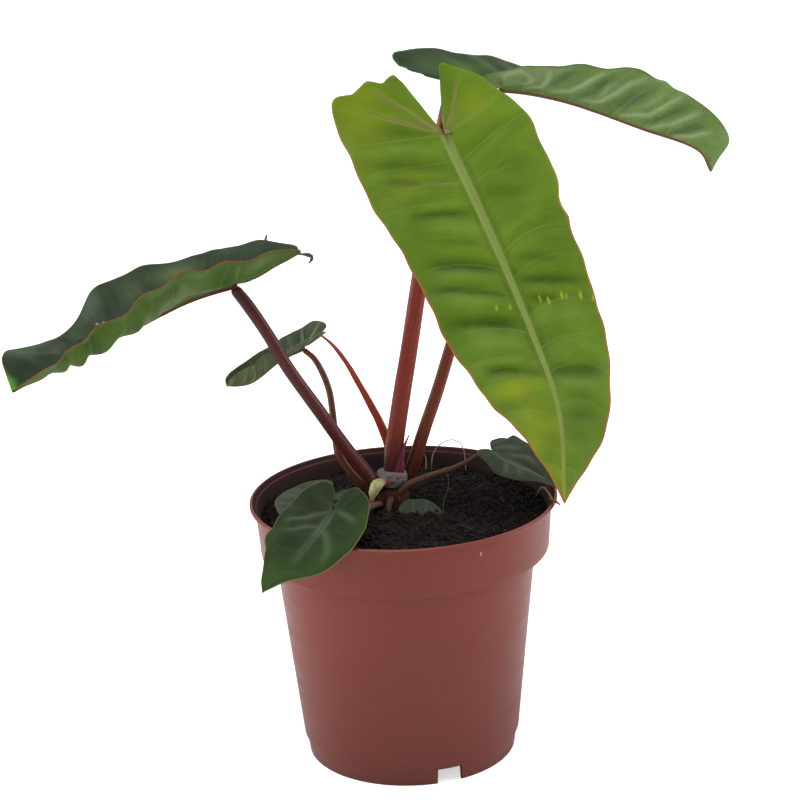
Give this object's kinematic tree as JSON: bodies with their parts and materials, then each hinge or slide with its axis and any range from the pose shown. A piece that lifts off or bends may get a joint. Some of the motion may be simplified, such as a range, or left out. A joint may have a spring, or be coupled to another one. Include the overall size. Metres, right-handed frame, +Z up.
{
  "type": "potted philodendron",
  "caption": "Young philodendron with long heart-based leaves on red-brown stalks, growing from dark peat in a round terracotta-brown plastic nursery pot.",
  "frame": {"origin": "on the surface that the pot stands on, under the middle of the whole plant's box; the pot's own axis is at x = 8 mm, y = 6.5 mm", "axes": "+Z up; -Y the front, where the tall leaf hangs; +X to the right of someone who looks at the front"},
  "size_m": [0.2801, 0.1393, 0.2729],
  "materials": {
    "pot": "satin moulded terracotta-brown plastic",
    "soil": "near-black moist peat with plant fibres",
    "crown": "dark maroon stem bark",
    "leaf_scar": "pale grey dry leaf scar",
    "root": "orange-brown aerial root",
    "bright_leaf": "bright yellow-green leaf, soft sheen, lit through",
    "dark_leaf": "dark green velvety upper side, pale green underside",
    "young_leaf": "dark green heart leaf with pale veins",
    "stalk": "smooth red-brown leaf stalk, satin",
    "red_sheath": "orange-red sheath",
    "pink_sheath": "magenta sheath",
    "green_sheath": "pale yellow-green sheath with an orange tip"
  },
  "bodies": {
    "root": {"pot": "pot", "soil": "soil", "crown": "crown", "crown_ring": "leaf_scar", "air_root": "root", "tall_blade": "bright_leaf", "left_blade": "dark_leaf", "right_blade": "dark_leaf", "small_blade": "young_leaf", "front_blade": "young_leaf", "behind_blade": "young_leaf", "side_blade": "young_leaf", "buried_blade": "young_leaf", "tall_stalk": "stalk", "left_stalk": "stalk", "right_stalk": "stalk", "small_stalk": "stalk", "front_stalk": "stalk", "behind_stalk": "stalk", "side_stalk": "stalk", "red_sheath": "red_sheath", "pink_sheath": "pink_sheath", "green_sheath": "green_sheath"}
  },
  "joints": []
}
